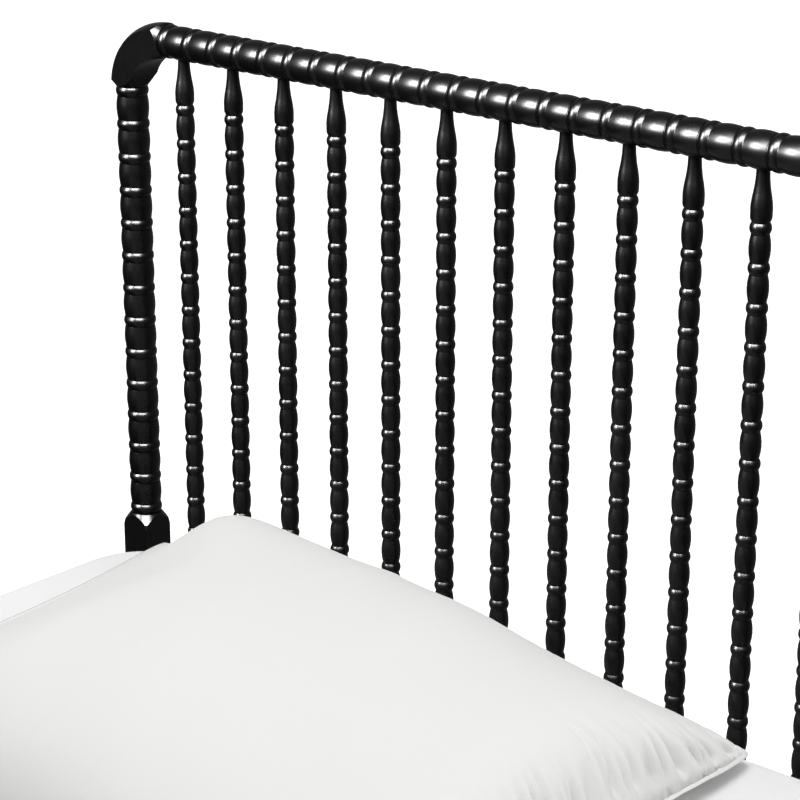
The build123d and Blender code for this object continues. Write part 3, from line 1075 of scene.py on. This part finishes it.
@dataclass
class Softbox:
    """One rectangular studio light."""

    name: str
    place: tuple[float, float, float]
    aim: tuple[float, float, float]
    size: tuple[float, float]
    radiance: float
    on_cloth: bool = True
    in_lacquer: bool = False

    def build(self, lacquered: bpy.types.Collection) -> bpy.types.Object:
        """Hangs the light and points it at its aim.

        Args:
            lacquered: the pieces that a lacquer light falls on.

        Returns:
            The light.
        """
        data = bpy.data.lights.new(self.name, "AREA")
        data.shape = "RECTANGLE"
        data.size, data.size_y = self.size
        data.energy = self.radiance * math.pi * self.size[0] * self.size[1]
        light = bpy.data.objects.new(self.name, data)
        light.location = self.place
        toward = Vector(self.aim) - Vector(self.place)
        light.rotation_mode = "QUATERNION"
        light.rotation_quaternion = toward.to_track_quat("-Z", "Y")
        light.visible_diffuse = self.on_cloth
        light.visible_glossy = self.in_lacquer
        if self.in_lacquer:
            light.light_linking.receiver_collection = lacquered
        bpy.context.scene.collection.objects.link(light)
        return light


@dataclass
class Studio:
    """Camera, pale floor and soft lights."""

    eye: tuple[float, float, float] = (1.4867, -0.8413, 1.6498)
    look: tuple[float, float, float] = (-0.62664, 0.70910, -0.32324)
    lens: float = 115.5
    floor_half: float = 30.0
    ambient: float = 0.50
    room_dark: float = 0.0
    wall_bright: float = 0.3
    wall_from: float = -0.15
    wall_to: float = 0.45
    lights: list[Softbox] = field(default_factory=list)
    lit: list[bpy.types.Object] = field(default_factory=list)

    def camera(self) -> None:
        """Places the camera."""
        data = bpy.data.cameras.new("camera")
        data.lens, data.sensor_width = self.lens, 36.0
        data.clip_end = 100.0
        camera = bpy.data.objects.new("camera", data)
        camera.location = self.eye
        camera.rotation_mode = "QUATERNION"
        camera.rotation_quaternion = Vector(self.look).to_track_quat("-Z", "Y")
        bpy.context.scene.collection.objects.link(camera)
        bpy.context.scene.camera = camera

    def floor(self) -> None:
        """Lays the floor."""
        half = self.floor_half
        mesh = bpy.data.meshes.new("studio_floor")
        mesh.from_pydata([(-half, -half, 0), (half, -half, 0), (half, half, 0), (-half, half, 0)],
                         [], [(0, 1, 2, 3)])
        made = bpy.data.objects.new("studio_floor", mesh)
        made.location.z = -0.0005
        bpy.context.scene.collection.objects.link(made)
        shader = Shader("studio_paper")
        shader.set(Base_Color=(0.93, 0.93, 0.93), Roughness=0.9, Specular_IOR_Level=0.1,
                   Emission_Color=(1.0, 1.0, 1.0), Emission_Strength=0.75)
        made.data.materials.append(shader.material)
        made.visible_glossy = False

    def air(self) -> None:
        """White behind the bed, soft light on cloth, and a dark room in front of the lacquer."""
        world = bpy.data.worlds.new("studio_air")
        bpy.context.scene.world = world
        world.use_nodes = True
        tree = world.node_tree
        back = tree.nodes["Background"]
        path = tree.nodes.new("ShaderNodeLightPath")
        toward = tree.nodes.new("ShaderNodeTexCoord")
        split = tree.nodes.new("ShaderNodeSeparateXYZ")
        tree.links.new(toward.outputs["Generated"], split.inputs[0])
        wall = tree.nodes.new("ShaderNodeMapRange")
        wall.interpolation_type = "SMOOTHSTEP"
        tree.links.new(split.outputs["Y"], wall.inputs["Value"])
        wall.inputs["From Min"].default_value = self.wall_from
        wall.inputs["From Max"].default_value = self.wall_to
        wall.inputs["To Min"].default_value = self.room_dark
        wall.inputs["To Max"].default_value = self.wall_bright
        glossy = tree.nodes.new("ShaderNodeMix")
        tree.links.new(path.outputs["Is Glossy Ray"], glossy.inputs[0])
        glossy.inputs[2].default_value = self.ambient
        tree.links.new(wall.outputs[0], glossy.inputs[3])
        seen = tree.nodes.new("ShaderNodeMix")
        tree.links.new(path.outputs["Is Camera Ray"], seen.inputs[0])
        tree.links.new(glossy.outputs[0], seen.inputs[2])
        seen.inputs[3].default_value = 1.0
        tree.links.new(seen.outputs[0], back.inputs["Strength"])
        back.inputs["Color"].default_value = (1.0, 1.0, 1.0, 1.0)

    def build(self) -> None:
        """Sets the whole studio up."""
        self.camera()
        self.floor()
        self.air()
        lacquered = bpy.data.collections.new("lacquered")
        for node in self.lit:
            lacquered.objects.link(node)
        for light in self.lights:
            light.build(lacquered)
        bpy.context.scene.view_settings.view_transform = "Standard"


def studio_lights() -> list[Softbox]:
    """The soft boxes round the bed; the lacquer's two aim at the headboard's upper part.

    Returns:
        The lights.
    """
    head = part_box("headboard_top_rail")[1]
    aim = (0.0, head.y, head.z * 0.85)
    lacquer = {"on_cloth": False, "in_lacquer": True}
    return [
        Softbox("front_box", (-2.2, -3.1, 3.5), aim, (1.9, 2.6), 230.0, **lacquer),
        Softbox("overhead_box", (1.0, -0.9, 3.6), aim, (3.0, 1.8), 165.0, **lacquer),
        Softbox("cloth_box", (0.3, 0.7, 5.0), (0.0, 0.6, 0.6), (3.0, 3.0), 4.3),
    ]


# ---------------------------------------------------------------- the whole bed
def soft_goods() -> None:
    """Makes the mattress, its sheet and the pillow, each in its own cloth."""
    # each cloth's second colour is its slub tone and the painted shade of its creases; the pillow's is
    # a little warm, a painted warm shade
    border = Cloth("mattress_knit", Weave.KNIT, (0.80, 0.80, 0.79), (0.72, 0.72, 0.71), 700.0,
                   0.0002)
    tape = Cloth("mattress_binding", Weave.TAPE, (0.76, 0.76, 0.75), (0.66, 0.66, 0.65), 600.0,
                 0.0002)
    linen = Cloth("sheet_percale", Weave.PERCALE, (0.94, 0.94, 0.94), (0.90, 0.90, 0.90))
    cotton = Cloth("pillow_percale", Weave.PERCALE, (0.85, 0.85, 0.838), (0.82, 0.82, 0.795))
    hem = Cloth("hem_percale", Weave.TAPE, (0.84, 0.84, 0.83), (0.77, 0.77, 0.76), 1100.0, 0.0001)
    MattressAndSheet(border.build(), tape.build(), linen.build()).build()
    Pillow(cotton.build(), hem.build()).build()


def node_finishes() -> dict[str, bpy.types.Material]:
    """The finishes of the CAD nodes.

    Returns:
        Each finish by a word in the names of its nodes, with "bed" for all the rest.
    """
    pine: tuple[Colour, Colour] = ((0.66, 0.47, 0.27), (0.42, 0.25, 0.11))
    slat = RawWood("slat_pine", *pine, along=0)
    cleat = RawWood("cleat_pine", *pine, along=1)
    return {
        "cleat": cleat.build(),
        "slat": slat.build(),
        "bolts": Metal("bolt_black_oxide", (0.05, 0.05, 0.052), 0.42).build(),
        "nuts": Metal("nut_zinc", (0.62, 0.62, 0.60), 0.36).build(),
        "screws": Metal("screw_zinc", (0.66, 0.64, 0.56), 0.33).build(),
        "dowels": RawWood("dowel_beech", (0.70, 0.50, 0.32), (0.50, 0.32, 0.18)).build(),
        "glides": Nylon().build(),
        "bed": Lacquer().build(),
    }


def main() -> None:
    """Sets the studio up, makes the soft goods and dresses the nodes."""
    lit = [node for name, node in frame["nodes"].items() if name.startswith(LACQUER_LIT)]
    Studio(lights=studio_lights(), lit=lit).build()
    soft_goods()
    Joinery(frame["nodes"], node_finishes()).build()


if __name__ == "__main__":
    main()
